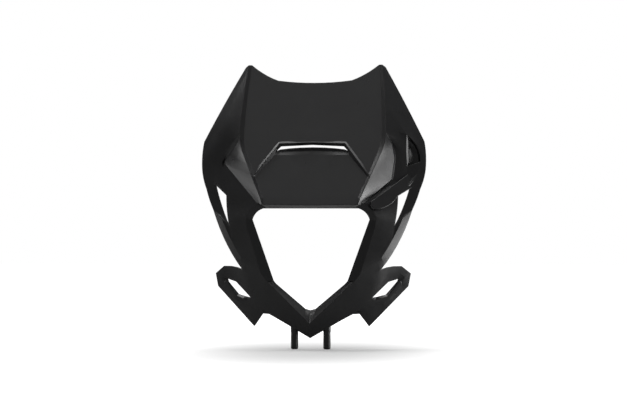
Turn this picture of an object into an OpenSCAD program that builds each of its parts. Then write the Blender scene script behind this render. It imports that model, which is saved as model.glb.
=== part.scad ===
/* [Overall] */
// Width over the shoulders
shoulder_w = 273.5; // [267:0.5:280]
// Height over all, from the pin ends to the horn tips
height = 345; // [338:0.5:352]
// Wall thickness of the moulding
wall = 2.6; // [2:0.1:3.2]
// Lean of the plate panel from upright, in degrees
plate_lean = 25; // [22:0.5:28]
// Depth of the moulding from the brow back to the shoulder edge
shoulder_depth = 55; // [51:1:58]

/* [Plate] */
// Distance between the horn tips
horn_w = 156.4; // [151:0.2:161]
// Width of the dip in the top edge
dip_w = 90; // [80:1:96]
// Drop of the middle of the top edge below the horn tips
dip_drop = 22.5; // [17:0.5:28]
// Width of the plate between the ridges at its widest
plate_w = 167.4; // [162:0.2:172]
// Width of the wall of each ridge, seen from the front
ridge_w = 4.2; // [3.5:0.1:5]
// Height of the ridges above the plate
ridge_proud = 4.5; // [3.5:0.1:5.5]
// Height of the brow edge
brow_z = 174.5; // [170:0.5:179]
// Width of the brow edge between its corners
brow_w = 111; // [106:1:116]

/* [Vent] */
// Width of the vent slot at its top
vent_w = 76; // [68:1:84]
// Height of the top edge of the vent slot
vent_z = 245.6; // [241:0.2:250]
// Open height of the vent slot
vent_gap = 2.6; // [2.2:0.1:3.4]
// Height of the lip over the vent slot
vent_lip = 3; // [2.4:0.1:3.6]
// Height of the bead that runs along the lip and the grooves
bead_proud = 1.3; // [0.8:0.1:1.8]
// Width of the bead
bead_w = 2.6; // [2:0.1:3.2]
// Step back from the upper plate to the lower plate
vent_step = 3; // [2:0.1:4]
// Height at which the side grooves of the vent meet the ridges
groove_z = 209.5; // [204:0.5:214]

/* [Lamp aperture] */
// Width of the aperture at its widest
aperture_w = 141; // [136:1:146]
// Width of the top edge of the aperture
aperture_top_w = 115; // [110:1:120]
// Height of the top edge of the aperture
aperture_top_z = 168.8; // [166:0.2:171]
// Height of the lower corners of the aperture
aperture_low_z = 81.8; // [78:0.5:86]
// Width of the aperture at its lower corners
aperture_low_w = 88.5; // [84:0.5:93]
// Height of the point of the aperture
aperture_point_z = 47; // [45:0.5:50]
// Depth of the aperture edge behind the brow
aperture_depth = 15; // [13:0.5:17]

/* [Chin and wings] */
// Height of the point of the chin
chin_z = 13.5; // [11:0.5:16]
// Height of the middle of the chin ledge
ledge_z = 31.4; // [29:0.2:33]
// Depth of the step behind the chin ledge
ledge_step = 3.2; // [2.4:0.1:4]
// Width over the wings
wing_w = 237.6; // [232:0.4:243]
// Distance between the fang tips
fang_w = 139.6; // [135:0.2:144]
// Height of the fang tips
fang_z = 27; // [24:0.2:30]

/* [Hose hook] */
// Depth of the channel beside the facet
channel_depth = 5.5; // [4:0.5:6.5]
// Depth of the hose pocket
pocket_depth = 7; // [5:0.5:9]
// Thickness of the hook
hook_wall = 3; // [2.4:0.1:3.6]
// Way that the hook falls back for each unit of its reach outward
hook_sweep = 0.6; // [0.57:0.01:0.62]
// Way that the hook falls back for each unit of its height
hook_lean = 0.42; // [0.4:0.01:0.43]

/* [Lamp screws] */
// Distance between the upper lamp bosses
boss_upper_w = 144; // [140:1:148]
// Height of the upper lamp bosses
boss_upper_z = 171; // [169:0.5:173]
// Distance between the lower lamp bosses
boss_lower_w = 114; // [110:1:118]
// Height of the lower lamp bosses
boss_lower_z = 74; // [71:0.5:77]
// Diameter of each lamp boss
boss_d = 9; // [8:0.1:10]
// Diameter of the screw hole in each boss
boss_hole_d = 3.4; // [3:0.1:4]
// Depth of the screw holes
boss_hole_depth = 12; // [10:0.5:14]
// Depth of the boss ends behind the brow
boss_end_depth = 30; // [28:0.5:33]

/* [Pins] */
// Diameter of each locating pin
pin_d = 8.8; // [8:0.1:9]
// Distance between the pin axes
pin_spacing = 39; // [35:0.5:43]
// Depth of the pin axes behind the brow
pin_depth = 12; // [11:0.5:13]
// Height of the pin roots behind the chin
pin_root_z = 46; // [40:0.5:50]
// Length of the rounded nose of each pin
pin_nose = 1.5; // [1:0.1:2]
// Height of the shoulder where the thicker root of each pin starts
pin_shoulder_z = 21; // [18:0.5:21.5]
// Diameter of the root of each pin
pin_root_d = 9.4; // [9.2:0.1:10.2]

/* [Hidden] */

plastic = "#1a1b1d";

// Points and curves

function mix(a, b, t) = a + (b - a) * t;

function line(a, b, n) = [for (i = [0:n]) mix(a, b, i / n)];

// A curve from a to b that passes the middle point m half way
function bow(a, m, b, n) = [
    for (i = [0:n])
        let (t = i / n, c = 2 * m - (a + b) / 2)
            (1 - t) * (1 - t) * a + 2 * t * (1 - t) * c + t * t * b
];

// Curves end to end, with each shared end once
function chain(parts) = [
    for (k = [0:len(parts) - 1])
        for (i = [(k == 0 ? 0 : 1):len(parts[k]) - 1]) parts[k][i]
];

function backward(c) = [for (i = [len(c) - 1:-1:0]) c[i]];

// Panel between four edge curves: top and bottom run outward, left and right run down
function panel(top, bottom, left, right) =
    let (nu = len(top) - 1, nv = len(left) - 1)
    [for (j = [0:nv]) [for (i = [0:nu])
        let (u = i / nu, v = j / nv)
        j == 0 ? top[i] : j == nv ? bottom[i] : i == 0 ? left[j] : i == nu ? right[j] :
        mix(top[i], bottom[i], v) + mix(left[j], right[j], u)
        - mix(mix(top[0], top[nu], u), mix(bottom[0], bottom[nu], u), v)]];

// Panel with straight sides between an upper and a lower curve
function strip(top, bottom, n = 1) =
    panel(top, bottom, line(top[0], bottom[0], n),
        line(top[len(top) - 1], bottom[len(bottom) - 1], n));

// Panel with straight ends between an inner and an outer curve
function band(left, right, n = 1) =
    panel(line(left[0], right[0], n),
        line(left[len(left) - 1], right[len(right) - 1], n), left, right);

// Panel pushed out of its own edges by the given amount at its middle
function swollen(p, by) =
    let (nv = len(p) - 1, nu = len(p[0]) - 1)
    [for (j = [0:nv]) [for (i = [0:nu])
        p[j][i] + by * sin(180 * i / nu) * sin(180 * j / nv)]];

// Plate, ridges and vent, for the half at +X

function plate_depth(z) = (z - brow_z) * tan(plate_lean);

function on_plate(x, z) = [x, plate_depth(z), z];

ridge_wide_z = 260;
ridge_turn_z = 239;
brow_mid = [0, 0, brow_z];
brow_foot = on_plate(brow_w / 2 - 0.5, brow_z + 1);
foot_wide = on_plate(plate_w / 2, ridge_wide_z);
foot_turn = on_plate(plate_w / 2 - 3.4, ridge_turn_z);
groove_top = mix(brow_foot, foot_turn, (groove_z - brow_foot[2]) / (ridge_turn_z - brow_foot[2]));
groove_low = mix(brow_foot, groove_top, 0.93) + [0, vent_step * 0.7, 0];

horn_in = on_plate(horn_w / 2, height);
horn_out = horn_in + [7.9, 2, -2.9];
dip_z = height - dip_drop;

foot_upper = chain([
    bow(horn_in, on_plate(plate_w / 2 - 1.8, mix(ridge_wide_z, height, 0.48)), foot_wide, 6),
    bow(foot_wide, on_plate(plate_w / 2 - 0.9, mix(ridge_turn_z, ridge_wide_z, 0.48)), foot_turn, 2),
    line(foot_turn, groove_top, 3)
]);
foot_lower = line(groove_low, brow_foot, 5);
ridge_low = mix(brow_foot, groove_top, 0.93);
// Line that the ridges follow, without the step of the groove
ridge_guide = chain([foot_upper, [groove_top, ridge_low], line(ridge_low, brow_foot, 5)]);
foot = chain([foot_upper, [groove_top, groove_low], foot_lower]);

// Rise of a ridge over the plate: less at the horn tip, least at the brow
function ridge_rise(z) = z > ridge_wide_z
    ? mix(1, 0.4, (z - ridge_wide_z) / (height - ridge_wide_z))
    : mix(0.2, 1, (z - brow_z) / (ridge_wide_z - brow_z));
function ridge_reach(z) = z > ridge_wide_z
    ? mix(1.25, 0.9, (z - ridge_wide_z) / (height - ridge_wide_z))
    : mix(0.6, 1.25, (z - brow_z) / (ridge_wide_z - brow_z));
crest = [for (p = ridge_guide) p + [ridge_w * ridge_reach(p[2]), -ridge_proud * ridge_rise(p[2]), 0]];
apex_at = 6;
apex = crest[apex_at];
crest_end = crest[len(crest) - 1];
crest_high = [for (i = [0:apex_at]) crest[i]];
crest_low = [for (i = [apex_at:len(crest) - 1]) crest[i]];

top_edge = chain([
    bow(on_plate(0, dip_z), on_plate(dip_w / 4, dip_z + 0.7), on_plate(dip_w / 2, dip_z + 3), 4),
    bow(on_plate(dip_w / 2, dip_z + 3),
        on_plate((dip_w + horn_w) / 4, mix(dip_z, height, 0.48)), horn_in, 5)
]);

lip_corner = on_plate(vent_w / 2 + 1.6, vent_z + vent_lip - 1.2);
lip_seat = chain([
    line(on_plate(0, vent_z + vent_lip), lip_corner, 4),
    [lip_corner, mix(lip_corner, groove_top, 0.1), mix(lip_corner, groove_top, 0.22)],
    line(mix(lip_corner, groove_top, 0.22), groove_top, 3)
]);

lip_last = len(lip_seat) - 1;
lip_line = [for (k = [0:lip_last]) lip_seat[k] - [0, k == lip_last ? 0 : bead_proud, 0]];

// Way along the plate from the edge of the lip to the foot of the bead
function bead_shift(k) = k == lip_last ? [0, 0, 0] : bead_w * (
    k < 4 ? [0, tan(plate_lean), 1] : k == 4 ? [0.4, 0.9 * tan(plate_lean), 0.9]
    : [0.8, 0.6 * tan(plate_lean), 0.6]);
bead_foot = [for (k = [0:lip_last]) lip_seat[k] + bead_shift(k)];

step_back = [0, vent_step, 0];
slot_end = on_plate(vent_w / 2 + 4.8, vent_z - 6.8) + step_back + [0, 1.5, 0];
fold_z = vent_z - 13;
fold_end = on_plate(vent_w / 2 + 6.8, fold_z + 1) + step_back;
slot_top = chain([
    line(on_plate(0, vent_z) + step_back, on_plate(vent_w / 2, vent_z - 1.8) + step_back, 4),
    [on_plate(vent_w / 2, vent_z - 1.8) + step_back, slot_end]
]);
slot_sill_depth = plate_depth(fold_z) + vent_step + 9.5;
slot_low_end = [vent_w / 2 + 1, slot_sill_depth - 2.5, vent_z - vent_gap - 2.6];
slot_low = chain([
    bow([0, slot_sill_depth, vent_z - vent_gap],
        [vent_w / 4 + 2, slot_sill_depth - 0.6, vent_z - vent_gap - 0.7], slot_low_end, 3),
    [slot_low_end, slot_end]
]);
fold_line = line(on_plate(0, fold_z) + step_back, fold_end, 4);
groove_line = line(fold_end, groove_low, 3);

// Facets, side panels and outline

facet_corner = [110.2, 45, 225.6];
brow_corner = [brow_w / 2 + 8.5, 8.5, brow_z + 0.5];
facet_upper = bow(apex, (apex + facet_corner) / 2 + [-6.8, -1.7, 3.5], facet_corner, 5);
facet_lower = line(facet_corner, brow_corner, 6);

half_w = shoulder_w / 2;
shoulder_top = [half_w - 2.1, shoulder_depth + 2, 250.2];
shoulder_out = [half_w, shoulder_depth - 3, 221];
strap_top = [half_w - 6.6, shoulder_depth - 11, 192.3];
facet_tip = [half_w - 15.9, shoulder_depth - 18.5, 167];
joint = [83.7, 21, 95];
outline_upper = chain([
    bow(horn_out, (horn_out + shoulder_top) / 2 + [0.8, -1, 0], shoulder_top, 6),
    bow(shoulder_top, [half_w - 0.2, shoulder_depth - 0.2, 236], shoulder_out, 5)
]);
outline_side = bow(shoulder_out, [half_w - 1.9, shoulder_depth - 6.4, 206.6], strap_top, 6);
outline_strap = bow(strap_top, [half_w - 10.5, shoulder_depth - 14.8, 180.1], facet_tip, 5);
outline_low = bow(facet_tip, [105.1, 30.6, 128.3], joint, 7);

// Side slot, leg and strap

slot_in = [104.2, 29.5, 184.9];
slot_out = [118.6, 41, 197.3];
slot_tip = [100.2, 24, 147.9];
slot_inner = bow(slot_in, [103.1, 26.5, 166], slot_tip, 6);
slot_outer = bow(slot_out, [110.8, 35, 173], slot_tip, 6);
strap_crease = chain([
    line(facet_tip, [109.8, 28.6, 157.2], 1),
    line([109.8, 28.6, 157.2], [103.4, 24.4, 143], 1),
    bow([103.4, 24.4, 143], [90.6, 18.8, 119], [79.4, 16.5, 102.5], 4),
    [[79.4, 16.5, 102.5], joint]
]);
// Below the slot the leg and the strap meet at the crease itself
strap_seam = chain([[slot_tip, [99.2, 23.2, 139]], [[99.2, 23.2, 139], strap_crease[3]],
    [for (k = [3:7]) strap_crease[k]]]);
strap_rim = [for (k = [0:7])
    outline_low[k] - min(1, k / 2, 7 - k) * [2 + k * 0.3, 3.6, 0]];

leg_top = [78.5, 12, 156];
ledge_out = [53, 6, 82];
leg_corner = bow(brow_corner, [75, 10, 165], leg_top, 6);
leg_crease = chain([
    [leg_top, [77.3, 11.6, 147]],
    line([77.3, 11.6, 147], [59.5, 7, 90], 4),
    [[59.5, 7, 90], ledge_out]
]);

// Lamp aperture

lamp_top = [0, aperture_depth - 3, aperture_top_z];
lamp_corner = [aperture_top_w / 2, aperture_depth - 2, aperture_top_z];
lamp_side = [aperture_w / 2, aperture_depth, 155.6];
lamp_low = [aperture_low_w / 2, aperture_depth - 4.5, aperture_low_z];
lamp_point = [0, aperture_depth - 6, aperture_point_z];
lamp_edge_top = line(lamp_top, lamp_corner, 11);
lamp_edge_corner = bow(lamp_corner, (lamp_corner + lamp_side) / 2 + [1.7, 0, 1.7], lamp_side, 6);
lamp_edge_side = line(lamp_side, lamp_low, 6);
lamp_edge_v = chain([
    [lamp_point, [6, aperture_depth - 5.8, aperture_point_z + 1.6]],
    line([6, aperture_depth - 5.8, aperture_point_z + 1.6],
        [41, aperture_depth - 4.7, aperture_low_z - 3.6], 6),
    [[41, aperture_depth - 4.7, aperture_low_z - 3.6], lamp_low]
]);
brow_line = chain([
    line(brow_mid, brow_foot, 7),
    [brow_foot, crest_end],
    line(crest_end, brow_corner, 3)
]);

// Chin

ledge_mid = [0, -6, ledge_z];
ledge = line(ledge_mid, ledge_out, 8);
ledge_foot = [for (p = ledge) p + [p[0] > 0 ? -1.1 : 0, ledge_step, 2]];
chin_bend = [36, 8.5, 34.2];
chin_end = [50.5, 12.5, 42];
chin_edge = chain([
    line([0, 4, chin_z], chin_bend, 5),
    bow(chin_bend, [44.5, 11, 38.8], chin_end, 3)
]);

// Wings

half_wing = wing_w / 2;
eye_in = [73.1, 20, 61.2];
eye_top = [92.3, 30, 80.3];
eye_out = [105.4, 38, 84.4];
eye_low = [89, 34, 65.3];
wing_top = [half_wing - 10.9, 38.5, 99.3];
wing_corner = [half_wing, 44, 90.3];
wing_low = [half_wing - 2.9, 43, 74.9];
fang_tip = [fang_w / 2, 24, fang_z];
fang_side = mix(wing_low, fang_tip, 0.38);
fang_in = [58.3, 17, 42.3];
rim_top = [half_wing - 7.1, 39.5, 86.2];
rim_side = [half_wing - 11.2, 38, 76.1];
rim_low = [93.6, 31, 59.1];
rim_fang = [86.9, 27.5, 54.9];
arm_root = line(joint, eye_in, 3);
arm_edge = chain([bow(joint, [95.6, 30, 98.5], wing_top, 3), line(wing_top, wing_corner, 2)]);
arm_crease = bow(arm_root[1], [97.6, 32, 92], rim_top, 5);
eye_upper = chain([line(eye_in, eye_top, 3), line(eye_top, eye_out, 2)]);
eye_outer = line(eye_out, eye_low, 4);
rim_outer = chain([line(rim_top, rim_side, 1), line(rim_side, rim_low, 3)]);
wing_outer = chain([line(wing_corner, wing_low, 1), line(wing_low, fang_side, 3)]);
chin_seam = bow(chin_end, [63, 16, 51.5], eye_in, 5);
eye_lower = line(eye_in, eye_low, 3);
// Edge of the recess round the lower and outer side of the eye
lip_out = [106.7, 37.2, 81.7];
lip_low = [91.2, 29.6, 63];
lip_outer = chain([[eye_out, lip_out], line(lip_out, lip_low, 3)]);
lip_lower = [eye_in, [77, 22.4, 58], [84, 26, 60.6], lip_low];
rim_ridge = chain([line(chin_end, rim_fang, 7), [rim_fang, rim_low]]);
fang_edge = chain([
    line(chin_end, fang_in, 2),
    line(fang_in, fang_tip, 3),
    line(fang_tip, fang_side, 3)
]);

outward = [0.55, -0.8, 0.2];

// Hose channel and pocket on the hooked side

clip_mid = [98.9, 37.6, 230];
clip_top = [96, 37, 246.5];
clip_low = [95.5, 32.2, 203.5];
clip_upper = chain([line(apex, clip_top, 3), line(clip_top, clip_mid, 2)]);
clip_lower = chain([line(clip_mid, clip_low, 2), line(clip_low, brow_corner, 4)]);
channel_upper = [for (k = [0:5]) clip_upper[k] + channel_depth * min(1, k / 3) * [0.3, 1, 0]];
channel_lower = [for (k = [0:6]) clip_lower[k] + channel_depth * min(1, (6 - k) / 3) * [0.3, 1, 0]];

channel_mid = channel_lower[0];
horn_mid = mix(crest[0], horn_out, 0.3);
pocket_top = [113.5, 47, 258.5];
pocket_left = [114.2, 46.3, 220];
pocket_right = [129.8, 50.3, 225.5];
pocket_in = [-0.4, 0.9, -0.15] * pocket_depth;
pocket_edge_left = bow(pocket_top, [113, 46.6, 239], pocket_left, 5);
pocket_edge_right = bow(pocket_top, [126, 52, 243], pocket_right, 5);
// Sloped lip along the near side of the pocket
pocket_lip_left = [for (k = [0:5]) pocket_edge_left[k] + [2.4, 2.1, 0] * min(1, k / 1.2, (5 - k) / 0.8)];
pocket_foot_left = [for (k = [0:5]) pocket_edge_left[k] + [6, 0, 0] * min(1, k / 1.5)
    + pocket_in * min(1, k / 2)];
pocket_foot_right = [for (k = [0:5]) pocket_edge_right[k] + [-1.5, 0, 0] * min(1, k / 1.5)
    + pocket_in * min(1, k / 2)];
side_left = line(horn_mid, pocket_top, 6);

function side_panels(hooked) = hooked ? [
    // Clipped facet and the wall of the channel beside it
    band(crest_low, chain([clip_upper, clip_lower]), 3),
    band(chain([clip_upper, clip_lower]), chain([channel_upper, channel_lower])),
    // Side panel on both sides of the pocket
    panel(line(crest[0], horn_mid, 3), line(channel_mid, pocket_left, 3),
        chain([crest_high, channel_upper]), chain([side_left, pocket_edge_left])),
    panel(line(horn_mid, horn_out, 3), line(pocket_right, shoulder_out, 3),
        chain([side_left, pocket_edge_right]), outline_upper),
    // Walls, floor and end of the pocket
    band(pocket_edge_left, pocket_lip_left),
    band(pocket_lip_left, pocket_foot_left),
    band(pocket_foot_left, pocket_foot_right, 2),
    band(pocket_foot_right, pocket_edge_right),
    panel(
        chain([[pocket_left, pocket_foot_left[5]], line(pocket_foot_left[5], pocket_foot_right[5], 2),
            [pocket_foot_right[5], pocket_right]]),
        line(pocket_left, pocket_right, 4), [pocket_left, pocket_left], [pocket_right, pocket_right]),
    // Lower side panel
    panel(
        chain([line(channel_mid, pocket_left, 3),
            line(pocket_left, pocket_right, 4), line(pocket_right, shoulder_out, 3)]),
        chain([line(brow_corner, slot_in, 5), line(slot_in, slot_out, 3), line(slot_out, strap_top, 2)]),
        channel_lower, outline_side)
] : [
    band(crest_low, chain([facet_upper, facet_lower]), 3),
    swollen(panel(line(crest[0], horn_out, 10), line(facet_corner, shoulder_out, 10),
        chain([crest_high, facet_upper]), outline_upper), outward * 3),
    panel(line(facet_corner, shoulder_out, 10),
        chain([line(brow_corner, slot_in, 5), line(slot_in, slot_out, 3), line(slot_out, strap_top, 2)]),
        facet_lower, outline_side)
];

function shell_panels(hooked) = concat(side_panels(hooked), [
    // Upper plate, bead, vent lip and groove walls, vent sill, lower plate
    panel(top_edge, bead_foot, line(top_edge[0], bead_foot[0], 11), foot_upper),
    strip(bead_foot, lip_line),
    strip(lip_line, chain([slot_top, [slot_end, fold_end], groove_line])),
    strip(slot_low, fold_line),
    panel(chain([fold_line, groove_line]), line(brow_mid, brow_foot, 7),
        line(fold_line[0], brow_mid, 5), foot_lower),
    // Ridge wall
    band(foot, crest),
    // Leg, strap, strap facet and its rim
    panel(line(brow_corner, slot_in, 5), line(ledge_out, joint, 5),
        chain([leg_corner, leg_crease]), chain([slot_inner, strap_seam])),
    panel(line(slot_out, strap_top, 2), [joint, joint, joint],
        chain([slot_outer, strap_seam]), chain([outline_strap, strap_crease])),
    band(strap_crease, strap_rim),
    band(strap_rim, outline_low),
    // Brow underside, corner bevel and leg bevel round the lamp
    strip(brow_line, lamp_edge_top, 2),
    band(lamp_edge_corner, leg_corner, 2),
    band(lamp_edge_side, leg_crease, 2),
    // Ledge end, sunk band, ledge wall and chin
    panel(line(lamp_low, ledge_out, 2), line(lamp_low, ledge_foot[8], 2),
        [lamp_low, lamp_low], [ledge_out, ledge_foot[8]]),
    strip(lamp_edge_v, ledge_foot, 2),
    strip(ledge_foot, ledge),
    strip(ledge, chin_edge, 3),
    // Arm of the wing, with its bevel and face
    strip(line(ledge_out, joint, 5), chin_seam, 3),
    strip(arm_edge, arm_crease),
    strip(arm_crease, eye_upper, 2),
    // Recess wall and rim round the eye, lower arm and fang
    band(eye_outer, lip_outer),
    strip(eye_lower, lip_lower),
    band(lip_outer, rim_outer, 2),
    band(rim_outer, wing_outer),
    panel(chain([chin_seam, lip_lower]), rim_ridge, line(chin_end, chin_end, 2),
        line(lip_low, rim_low, 2)),
    strip(rim_ridge, fang_edge)
]);

// Solid wall from the panels

// One number for each place, so that shared corners are found
function place(p) =
    round(p[0] * 16.7 + 4000.31) * 1e8 + round(p[1] * 16.7 + 4000.31) * 1e4
    + round(p[2] * 16.7 + 1000.31);

// Inward direction of a panel at one of its points
function inward(p, j, i) =
    let (nv = len(p) - 1, nu = len(p[0]) - 1,
        across = p[j][min(i + 1, nu)] - p[j][max(i - 1, 0)],
        down = p[min(j + 1, nv)][i] - p[max(j - 1, 0)][i],
        n = cross(across, down))
    norm(n) < 1e-6 ? [0, 0, 0] : n / norm(n);

function total(v, i = 0) = i == len(v) - 1 ? v[i] : v[i] + total(v, i + 1);

// Points, welded inner points and triangles of one half; side is 1 or -1
function half_shell(panels, side) =
    let (
        starts = [for (k = 0, s = 0; k < len(panels);
            s = s + len(panels[k]) * len(panels[k][0]), k = k + 1) s],
        outer = [for (p = panels) for (row = p) for (q = row) [side * q[0], q[1], q[2]]],
        lean = [for (p = panels) for (j = [0:len(p) - 1]) for (i = [0:len(p[0]) - 1])
            let (n = inward(p, j, i)) [side * n[0], n[1], n[2]]],
        places = [for (q = outer) place(q)],
        twins = search(places, [for (k = places) [k]], 0),
        first = [for (t = twins) t[0]],
        inner = [for (k = [0:len(outer) - 1])
            let (all = total([for (t = twins[k]) lean[t]]),
                count = len([for (t = twins[k]) if (norm(lean[t]) > 0) t]),
                flat = abs(outer[k][0]) < 1e-9 ? [0, all[1], all[2]] : all,
                size = norm(flat))
            outer[k] + flat / size * wall / max(0.75, size / count)],
        n = len(outer),
        grids = [for (k = [0:len(panels) - 1]) let (w = len(panels[k][0]))
            for (j = [0:len(panels[k]) - 2]) for (i = [0:w - 2])
                let (a = starts[k] + j * w + i)
                [first[a], first[a + 1], first[a + w + 1], first[a + w]]],
        triangles = [for (q = grids) for (t = [[q[0], q[1], q[2]], [q[0], q[2], q[3]]])
            if (t[0] != t[1] && t[1] != t[2] && t[2] != t[0]) t],
        borders = [for (k = [0:len(panels) - 1])
            let (w = len(panels[k][0]), h = len(panels[k]), s = starts[k])
            for (e = concat(
                [for (i = [0:w - 2]) [s + i, s + i + 1]],
                [for (j = [0:h - 2]) [s + j * w + w - 1, s + (j + 1) * w + w - 1]],
                [for (i = [0:w - 2]) [s + (h - 1) * w + i + 1, s + (h - 1) * w + i]],
                [for (j = [0:h - 2]) [s + (j + 1) * w, s + j * w]]))
            if (first[e[0]] != first[e[1]]) [first[e[0]], first[e[1]]]],
        middles = [for (e = borders) place((outer[e[0]] + outer[e[1]]) / 2)],
        matches = search(middles, [for (m = middles) [m]], 0),
        free = [for (k = [0:len(borders) - 1])
            let (e = borders[k])
            if (len(matches[k]) == 1 && abs(outer[e[0]][0]) + abs(outer[e[1]][0]) > 1e-6) e],
        faces = concat(
            triangles,
            [for (t = triangles) [t[2] + n, t[1] + n, t[0] + n]],
            [for (e = free) for (t = [[e[1], e[0], e[0] + n], [e[1], e[0] + n, e[1] + n]]) t])
    )
    [concat(outer, inner), side > 0 ? faces : [for (f = faces) backward(f)]];

module shell() {
    right = half_shell(shell_panels(true), 1);
    left = half_shell(shell_panels(false), -1);
    n = len(right[0]);
    polyhedron(
        points = concat(right[0], left[0]),
        faces = concat(right[1], [for (f = left[1]) [for (i = f) i + n]]),
        convexity = 8
    );
}

// Depth of the front of the chin at a place below the ledge
function chin_front(x, z) =
    let (upper = mix(ledge_mid, ledge_out, x / ledge_out[0]),
        lower = mix(chin_edge[0], chin_bend, x / chin_bend[0]))
    mix(lower, upper, (z - lower[2]) / (upper[2] - lower[2]))[1];

web_w = 4;
web_low_z = 27;

// Locating pins, each with a web that ties it to the back of the chin
module pins() {
    at = pin_spacing / 2;
    sunk = wall / 2;
    for (side = [-1, 1])
        translate([side * at, 0, 0])
            union() {
                translate([0, pin_depth, pin_nose])
                    cylinder(d = pin_d, h = pin_shoulder_z - pin_nose, $fn = 48);
                translate([0, pin_depth, pin_shoulder_z])
                    cylinder(d = pin_root_d, h = pin_root_z - pin_shoulder_z, $fn = 48);
                translate([0, pin_depth, pin_nose / 3])
                    cylinder(d1 = pin_d - pin_nose * 0.8, d2 = pin_d, h = pin_nose * 2 / 3, $fn = 48);
                translate([0, pin_depth, 0])
                    cylinder(d1 = pin_d - pin_nose * 2, d2 = pin_d - pin_nose * 0.8,
                        h = pin_nose / 3, $fn = 48);
                rotate([90, 0, 90])
                    translate([0, 0, -web_w / 2])
                        linear_extrude(web_w)
                            polygon([
                                [pin_depth, web_low_z],
                                [chin_front(at + web_w / 2, web_low_z) + sunk, web_low_z],
                                [chin_front(at + web_w / 2, pin_root_z) + sunk, pin_root_z],
                                [pin_depth, pin_root_z]
                            ]);
            }
}

// Depth at which a boss of the given place starts, just inside the panel through a, b and c
function boss_start(a, b, c, x, z) =
    let (n = cross(b - a, c - a), slope = norm([n[0], n[2]]) / abs(n[1]))
    a[1] - (n[0] * (x - a[0]) + n[2] * (z - a[2])) / n[1] + slope * boss_d / 2;

// Places of the lamp bosses: across, start depth and height
boss_places = [
    [boss_upper_w / 2,
        boss_start(brow_corner, slot_in, leg_top, boss_upper_w / 2, boss_upper_z), boss_upper_z],
    [boss_lower_w / 2,
        boss_start(ledge_out, joint, chin_end, boss_lower_w / 2, boss_lower_z), boss_lower_z]
];

module lamp_bosses() {
    for (side = [-1, 1], b = boss_places)
        translate([side * b[0], boss_end_depth, b[2]])
            rotate([90, 0, 0])
                cylinder(d = boss_d, h = boss_end_depth - b[1], $fn = 48);
}

module lamp_screw_holes() {
    for (side = [-1, 1], b = boss_places)
        translate([side * b[0], boss_end_depth + 0.01, b[2]])
            rotate([90, 0, 0])
                cylinder(d = boss_hole_d, h = boss_hole_depth, $fn = 32);
}

// Outline of the hook, as seen from the front
hook_outline = [
    [72.6, 176.8], [126.6, 219.1], [131.5, 224], [134.2, 228.5], [135.4, 214], [133, 202.5],
    [129, 194], [119, 193.5], [104, 184], [101.5, 180], [97.8, 175.6], [93, 172.2], [88, 169.8],
    [84, 168.4], [80.5, 167.8], [77.5, 168.4], [74.8, 170.6], [73, 173.6]
];
hook_end = [128, 45.5, 194];

// The hook is a flat plate that sweeps back outward and leans back upward
hook_across = [1, hook_sweep, 0] / norm([1, hook_sweep, 0]);
hook_back = [-hook_sweep, 1, -hook_lean] / norm([-hook_sweep, 1, -hook_lean]);
hook_down = cross(hook_back, hook_across);

// Place on the plate of an outline point, measured from the outer end of the hook
function on_hook(p) =
    let (dx = p[0] - hook_end[0], dz = p[1] - hook_end[2],
        way = [dx, hook_sweep * dx + hook_lean * dz, dz])
    [way * hook_across, way * hook_down];

module hose_hook() {
    multmatrix([for (i = [0:2]) [hook_across[i], hook_down[i], hook_back[i], hook_end[i]]])
        linear_extrude(hook_wall)
            polygon([for (p = hook_outline) on_hook(p)]);
}

module cowl() {
    color(plastic)
        translate([0, -pin_depth, -pin_nose])
            difference() {
                union() {
                    shell();
                    pins();
                    lamp_bosses();
                    hose_hook();
                }
                lamp_screw_holes();
            }
}

cowl();
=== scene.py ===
import math

import bpy
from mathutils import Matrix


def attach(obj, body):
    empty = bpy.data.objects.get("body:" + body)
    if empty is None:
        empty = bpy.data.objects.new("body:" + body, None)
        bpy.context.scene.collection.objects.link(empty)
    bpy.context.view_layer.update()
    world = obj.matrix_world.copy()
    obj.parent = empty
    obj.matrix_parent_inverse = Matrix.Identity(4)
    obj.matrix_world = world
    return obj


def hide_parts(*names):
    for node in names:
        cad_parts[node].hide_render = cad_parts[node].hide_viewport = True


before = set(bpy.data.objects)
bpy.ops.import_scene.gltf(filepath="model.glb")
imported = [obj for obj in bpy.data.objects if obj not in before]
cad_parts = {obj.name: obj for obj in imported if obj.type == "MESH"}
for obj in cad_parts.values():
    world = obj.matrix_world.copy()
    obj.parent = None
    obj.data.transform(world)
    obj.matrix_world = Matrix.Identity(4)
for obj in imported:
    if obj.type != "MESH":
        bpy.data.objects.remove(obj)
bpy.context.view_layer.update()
scene = bpy.context.scene
scene.view_settings.view_transform = "Standard"

# The camera stands 3 m in front of the cowl, turned a little to the hose side, at about half
# the height of the cowl. FRAME_WIDTH is what it sees from side to side at that distance.
CAMERA_AWAY = 3.0
CAMERA_TURN = math.radians(4.9)
AIM = (0.00329, 0.00028, 0.1667)
FRAME_WIDTH = 0.7524
SENSOR_WIDTH = 36
NEAREST_SEEN = 0.05
FURTHEST_SEEN = 60

# The floor lies at the ends of the locating pins
FLOOR_Z = -0.0015
FLOOR_SIZE = 9

# The lamps face this point. Azimuth 0 is in front, 90 is on the hose side.
LAMPS_AIM = (0, 0.03, 0.17)
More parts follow.
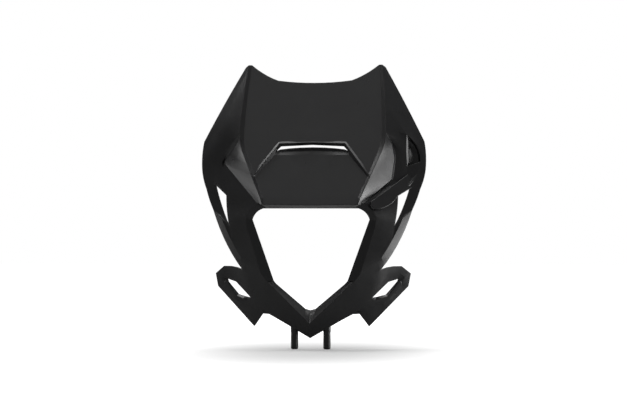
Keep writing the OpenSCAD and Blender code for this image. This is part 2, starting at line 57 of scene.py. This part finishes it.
# Name, distance from the aim, azimuth, height, width and height of the box, power
SOFTBOXES = [
    ("hose_side_softbox", 1.6, 80, 0.25, 0.6, 0.5, 5.2),
    ("hose_side_low_softbox", 1.6, 91, 0.12, 0.5, 0.2, 5),
    ("plain_side_softbox", 1.6, -95, 0.3, 0.6, 0.5, 2.5),
    ("plain_side_rear_softbox", 1.6, -112, 0.2, 0.5, 0.4, 1.2),
    ("high_front_fill", 1.5, -8, 1.9, 1.2, 0.9, 1.6),
    ("high_plain_side_strip", 0.85, -102, 1.62, 0.5, 0.5, 9),
    ("high_hose_side_strip", 0.55, 67, 1.7, 0.4, 0.4, 2.6),
    ("top_softbox", 0.1, 172, 1.5, 0.8, 0.8, 4.5),
    ("back_softbox", 0.7, 176, 1.4, 1.2, 1.3, 12),
]
# Name, place on the floor, length, breadth, power
FLOOR_REFLECTORS = [
    ("hose_side_reflector", (0.85, 0.14), 1.1, 0.36, 5.6),
    ("front_plain_side_card", (-0.75, -0.9), 0.8, 0.8, 1.2),
    ("plain_side_reflector", (-0.95, 0.2), 0.7, 0.3, 0.25),
]
REFLECTOR_Z = 0.002
ROOM_LIGHT = 0.2

WHITE = (1, 1, 1, 1)
# The floor as it lights the cowl from below, and as the camera sees it
FLOOR_TONE_BELOW = (0.3, 0.3, 0.3, 1)
FLOOR_TONE_SEEN = (0.44, 0.44, 0.44, 1)
# Painted shadow: how much white the camera sees added to the floor next to the cowl, so that the
# floor is darker there. Further out it is all white.
WHITE_IN_PAINTED_SHADOW = 0.19
# The oval of painted shadow round the cowl, in which the floor turns white: its shift and its
# stretch
PAINTED_SHADOW_SHIFT = (-0.03, 0.11, 0)
PAINTED_SHADOW_STRETCH = (3.3, 2.0, 1)

# How the moulded piece is finished, with lengths in metres and angles in radians
MERGE_WITHIN = 0.00002
PANEL_EASE = 0.5
PANEL_ROUNDS = 14
POCKET_FORWARD = -0.003
POCKET_OUTWARD = 0.0022
BROW_DOWN = -0.002
FLAT_WITHIN = math.radians(0.6)
CREASE_WIDTH = 0.0007
CREASE_STEPS = 3
CREASE_FROM = math.radians(20)
SMOOTH_BELOW = math.radians(13)

# Inner parts of the panels that have one even sweep, in millimetres as seen from the front
PLAIN_SIDE_PANEL = [
    (-87.5, 332), (-92.8, 259), (-96.3, 247), (-113, 226), (-113.5, 221.5), (-106, 213),
    (-112, 203), (-121, 199.5), (-129, 196), (-133.8, 219.5), (-131.8, 247.5), (-89.5, 333.5)]
HOSE_SIDE_PANEL = [
    (87.5, 332), (92.8, 259), (101, 246), (103.5, 228), (101.5, 206), (110.5, 208), (110.8, 222),
    (110.8, 238), (111.2, 256), (113.5, 261.5), (122, 252), (129.5, 238), (133, 226), (134.2, 236),
    (131.8, 247.5), (89.5, 333.5)]
# Points along the deepest line of the hose pocket, and how near a vertex lies to count as one
# of them, in millimetres
POCKET_VALLEY = [
    (119.9, 45.8, 243.7), (123.2, 46.5, 237.1), (125.0, 46.1, 230.2), (125.5, 44.6, 222.9)]
POCKET_REACH = 1
# The two edges of the brow over the lamp aperture, in millimetres
BROW_HALF_WIDTH = 60
BROW_BOTTOM, BROW_MIDDLE, BROW_TOP = 169.5, 172, 174.6
BROW_FRONT = -9
BROW_INNER_FRONT, BROW_INNER_BACK = -8, -3


def pick(thing):
    """Leaves only this object selected and active."""
    bpy.ops.object.select_all(action="DESELECT")
    thing.select_set(True)
    bpy.context.view_layer.objects.active = thing


def finish_with(piece, kind, name, **settings):
    """Adds a modifier, sets it and applies it at once."""
    pick(piece)
    modifier = piece.modifiers.new(name, kind)
    for key, value in settings.items():
        setattr(modifier, key, value)
    bpy.ops.object.modifier_apply(modifier=modifier.name)


def edit_all(piece, operator, **settings):
    """Runs one operator of edit mode on the whole mesh."""
    pick(piece)
    bpy.ops.object.mode_set(mode="EDIT")
    bpy.ops.mesh.select_all(action="SELECT")
    operator(**settings)
    bpy.ops.object.mode_set(mode="OBJECT")


def move_group(piece, name, direction, distance, group):
    """Moves the vertices of a group along one axis."""
    finish_with(piece, "DISPLACE", name, direction=direction, strength=distance, mid_level=0,
                vertex_group=group)


def place_camera():
    back = (math.sin(CAMERA_TURN), -math.cos(CAMERA_TURN))
    bpy.ops.object.camera_add(
        location=(AIM[0] + back[0] * CAMERA_AWAY, AIM[1] + back[1] * CAMERA_AWAY, AIM[2]),
        rotation=(math.radians(90), 0, CAMERA_TURN))
    camera = bpy.context.object
    camera.name = "front_camera"
    camera.data.sensor_width = SENSOR_WIDTH
    camera.data.lens = SENSOR_WIDTH * CAMERA_AWAY / FRAME_WIDTH
    camera.data.clip_start = NEAREST_SEEN
    camera.data.clip_end = FURTHEST_SEEN
    scene.camera = camera


def soft_lamp(name, spot, turned, width, height, power):
    """A rectangular soft lamp."""
    bpy.ops.object.light_add(type="AREA", location=spot, rotation=turned)
    lamp = bpy.context.object
    lamp.name = name
    lamp.data.shape = "RECTANGLE"
    lamp.data.size = width
    lamp.data.size_y = height
    lamp.data.energy = power
    return lamp


def softbox(name, away, azimuth, height, width, tall, power):
    """A soft lamp that faces the cowl."""
    turn = math.radians(azimuth)
    spot = (LAMPS_AIM[0] + away * math.sin(turn), LAMPS_AIM[1] - away * math.cos(turn), height)
    rise = height - LAMPS_AIM[2]
    tilt = math.asin(rise / math.hypot(away, rise))
    soft_lamp(name, spot, (math.radians(90) - tilt, 0, turn), width, tall, power)


def floor_reflector(name, spot, length, breadth, power):
    """A bright board that lies face up on the floor and stays out of the camera's sight."""
    board = soft_lamp(name, (*spot, REFLECTOR_Z), (math.radians(180), 0, 0), length, breadth, power)
    board.visible_camera = False


def new_material(name):
    material = bpy.data.materials.new(name)
    material.use_nodes = True
    material.node_tree.nodes.clear()
    return material, material.node_tree.nodes, material.node_tree.links


def add_node(nodes, kind, inputs=(), **settings):
    """Adds a shader node. Its settings come first, because they decide which inputs it has."""
    node = nodes.new(kind)
    for key, value in settings.items():
        setattr(node, key, value)
    for socket, value in dict(inputs).items():
        node.inputs[socket].default_value = value
    return node


def moulded_black_plastic():
    """Satin black polypropylene, as it comes from the mould.

    It has a fine spark-eroded grain, a slightly uneven gloss and a faint flow pattern.
    """
    material, nodes, links = new_material("moulded_black_plastic")
    out = add_node(nodes, "ShaderNodeOutputMaterial")
    shader = add_node(nodes, "ShaderNodeBsdfPrincipled", {"Specular IOR Level": 0.5, "IOR": 1.49})
    links.new(shader.outputs["BSDF"], out.inputs["Surface"])
    place = add_node(nodes, "ShaderNodeTexCoord")

    # Colour: two near blacks in soft clouds
    tone = add_node(nodes, "ShaderNodeTexNoise", {"Scale": 22, "Detail": 5, "Roughness": 0.6})
    links.new(place.outputs["Object"], tone.inputs["Vector"])
    colour = add_node(nodes, "ShaderNodeValToRGB")
    darker, lighter = colour.color_ramp.elements
    darker.position = 0.3
    darker.color = (0.0075, 0.0075, 0.008, 1)
    lighter.position = 0.7
    lighter.color = (0.0105, 0.0105, 0.0112, 1)
    links.new(tone.outputs["Fac"], colour.inputs["Fac"])
    links.new(colour.outputs["Color"], shader.inputs["Base Color"])

    # Gloss: satin, a little uneven
    patches = add_node(nodes, "ShaderNodeTexNoise", {"Scale": 55, "Detail": 7, "Roughness": 0.65})
    links.new(place.outputs["Object"], patches.inputs["Vector"])
    gloss = add_node(nodes, "ShaderNodeMapRange", {
        "From Min": 0.3, "From Max": 0.7, "To Min": 0.27, "To Max": 0.35})
    links.new(patches.outputs["Fac"], gloss.inputs["Value"])
    links.new(gloss.outputs["Result"], shader.inputs["Roughness"])

    # Relief: rounded creases, then the grain, then the flow pattern
    soft_edges = add_node(nodes, "ShaderNodeBevel", {"Radius": 0.001}, samples=16)
    grain = add_node(nodes, "ShaderNodeTexNoise", {"Scale": 1500, "Detail": 3})
    links.new(place.outputs["Object"], grain.inputs["Vector"])
    pits = add_node(nodes, "ShaderNodeTexVoronoi", {"Scale": 1100})
    links.new(place.outputs["Object"], pits.inputs["Vector"])
    relief = add_node(nodes, "ShaderNodeMath", operation="ADD")
    links.new(grain.outputs["Fac"], relief.inputs[0])
    links.new(pits.outputs["Distance"], relief.inputs[1])
    fine = add_node(nodes, "ShaderNodeBump", {"Strength": 0.15, "Distance": 0.0001})
    links.new(relief.outputs["Value"], fine.inputs["Height"])
    links.new(soft_edges.outputs["Normal"], fine.inputs["Normal"])
    swell = add_node(nodes, "ShaderNodeTexNoise", {"Scale": 30, "Detail": 2})
    links.new(place.outputs["Object"], swell.inputs["Vector"])
    broad = add_node(nodes, "ShaderNodeBump", {"Strength": 0.2, "Distance": 0.0006})
    links.new(swell.outputs["Fac"], broad.inputs["Height"])
    links.new(fine.outputs["Normal"], broad.inputs["Normal"])
    links.new(broad.outputs["Normal"], shader.inputs["Normal"])
    return material


def floor_with_painted_shadow():
    """A pale floor with the real shadow near the cowl inside a painted shadow, and plain white to
    the camera further out.
    """
    material, nodes, links = new_material("floor_with_painted_shadow")
    out = add_node(nodes, "ShaderNodeOutputMaterial")
    rays = add_node(nodes, "ShaderNodeLightPath")
    tone = add_node(nodes, "ShaderNodeMix", {"A": FLOOR_TONE_BELOW, "B": FLOOR_TONE_SEEN},
                    data_type="RGBA")
    links.new(rays.outputs["Is Camera Ray"], tone.inputs["Factor"])
    paint = add_node(nodes, "ShaderNodeBsdfDiffuse")
    links.new(tone.outputs["Result"], paint.inputs["Color"])

    # Painted shadow: the white grows from the middle of the oval to its edge, so the floor is
    # darkest next to the cowl
    place = add_node(nodes, "ShaderNodeTexCoord")
    centre = add_node(nodes, "ShaderNodeMapping", {
        "Location": PAINTED_SHADOW_SHIFT, "Scale": PAINTED_SHADOW_STRETCH}, vector_type="POINT")
    links.new(place.outputs["Object"], centre.inputs["Vector"])
    away = add_node(nodes, "ShaderNodeVectorMath", operation="LENGTH")
    links.new(centre.outputs["Vector"], away.inputs[0])
    painted_shadow_fade = add_node(nodes, "ShaderNodeMapRange", {
        "From Min": 0.0, "From Max": 1.0, "To Min": WHITE_IN_PAINTED_SHADOW, "To Max": 1.0},
        interpolation_type="SMOOTHSTEP")
    links.new(away.outputs["Value"], painted_shadow_fade.inputs["Value"])
    seen = add_node(nodes, "ShaderNodeMath", operation="MULTIPLY")
    links.new(painted_shadow_fade.outputs["Result"], seen.inputs[0])
    links.new(rays.outputs["Is Camera Ray"], seen.inputs[1])
    white = add_node(nodes, "ShaderNodeEmission", {"Color": WHITE})
    links.new(seen.outputs["Value"], white.inputs["Strength"])

    both = add_node(nodes, "ShaderNodeAddShader")
    links.new(paint.outputs["BSDF"], both.inputs[0])
    links.new(white.outputs["Emission"], both.inputs[1])
    links.new(both.outputs["Shader"], out.inputs["Surface"])
    return material


def soft_room():
    """White to the camera, and a soft even grey room for the light and the reflections."""
    world = bpy.data.worlds.new("soft_room")
    scene.world = world
    world.use_nodes = True
    nodes, links = world.node_tree.nodes, world.node_tree.links
    nodes.clear()
    out = add_node(nodes, "ShaderNodeOutputWorld")
    mix = add_node(nodes, "ShaderNodeMixShader")
    grey = add_node(nodes, "ShaderNodeBackground", {"Color": WHITE, "Strength": ROOM_LIGHT})
    white = add_node(nodes, "ShaderNodeBackground", {"Color": WHITE, "Strength": 1.0})
    rays = add_node(nodes, "ShaderNodeLightPath")
    links.new(rays.outputs["Is Camera Ray"], mix.inputs["Fac"])
    links.new(grey.outputs["Background"], mix.inputs[1])
    links.new(white.outputs["Background"], mix.inputs[2])
    links.new(mix.outputs["Shader"], out.inputs["Surface"])


def inside(outline, x, z):
    """True if the point lies inside the outline, seen from the front."""
    found = False
    for i, (ax, az) in enumerate(outline):
        bx, bz = outline[i - 1]
        if (az > z) != (bz > z) and x < (bx - ax) * (z - az) / (bz - az) + ax:
            found = not found
    return found


def vertex_share(piece, name, share):
    """Makes a vertex group from a function of a vertex's place in millimetres."""
    group = piece.vertex_groups.new(name=name)
    for vertex in piece.data.vertices:
        weight = share(*(1000 * c for c in vertex.co))
        if weight > 0:
            group.add([vertex.index], weight, "REPLACE")
    return group.name


def even_panels(x, y, z):
    """The inner parts of both side panels."""
    return 1.0 if inside(PLAIN_SIDE_PANEL, x, z) or inside(HOSE_SIDE_PANEL, x, z) else 0.0


def pocket_valley(x, y, z):
    """The deepest line of the hose pocket."""
    near = any(math.dist((x, y, z), point) < POCKET_REACH for point in POCKET_VALLEY)
    return 1.0 if near else 0.0


def brow_edge(x, y, z):
    """The front edge of the brow in full, and the edge behind and below it by half."""
    if abs(x) > BROW_HALF_WIDTH:
        return 0.0
    if y < BROW_FRONT and BROW_MIDDLE < z < BROW_TOP:
        return 1.0
    if BROW_INNER_FRONT < y < BROW_INNER_BACK and BROW_BOTTOM < z < BROW_MIDDLE:
        return 0.5
    return 0.0


def moulded_cowl(plastic):
    """The one moulded piece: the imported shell, with its creases and rims rounded."""
    cowl = bpy.data.objects.new("cowl_moulding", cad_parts["cowl"].data.copy())
    scene.collection.objects.link(cowl)
    edit_all(cowl, bpy.ops.mesh.remove_doubles, threshold=MERGE_WITHIN)
    finish_with(cowl, "SMOOTH", "even_panels", factor=PANEL_EASE, iterations=PANEL_ROUNDS,
                vertex_group=vertex_share(cowl, "even_panels", even_panels))
    valley = vertex_share(cowl, "pocket_valley", pocket_valley)
    move_group(cowl, "flatter_pocket", "Y", POCKET_FORWARD, valley)
    move_group(cowl, "wider_pocket", "X", POCKET_OUTWARD, valley)
    brow = vertex_share(cowl, "brow_edge", brow_edge)
    move_group(cowl, "brow_edge", "Z", BROW_DOWN, brow)
    edit_all(cowl, bpy.ops.mesh.dissolve_limited, angle_limit=FLAT_WITHIN)
    finish_with(cowl, "BEVEL", "rounded_creases", width=CREASE_WIDTH, segments=CREASE_STEPS,
                limit_method="ANGLE", angle_limit=CREASE_FROM, use_clamp_overlap=True,
                miter_outer="MITER_ARC")
    finish_with(cowl, "TRIANGULATE", "triangles")
    pick(cowl)
    bpy.ops.object.shade_smooth_by_angle(angle=SMOOTH_BELOW)
    finish_with(cowl, "WEIGHTED_NORMAL", "flat_faces_lead", keep_sharp=True)
    cowl.data.materials.clear()
    cowl.data.materials.append(plastic)
    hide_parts("cowl")
    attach(cowl, "root")


def floor_plane(paint):
    bpy.ops.mesh.primitive_plane_add(size=FLOOR_SIZE, location=(0, 0, FLOOR_Z))
    floor = bpy.context.object
    floor.name = "floor"
    floor.data.materials.append(paint)


bpy.ops.object.select_all(action="DESELECT")
place_camera()
soft_room()
for box in SOFTBOXES:
    softbox(*box)
for board in FLOOR_REFLECTORS:
    floor_reflector(*board)
# The floor's oval of weaker white is a painted shadow round the cowl
floor_plane(floor_with_painted_shadow())
moulded_cowl(moulded_black_plastic())
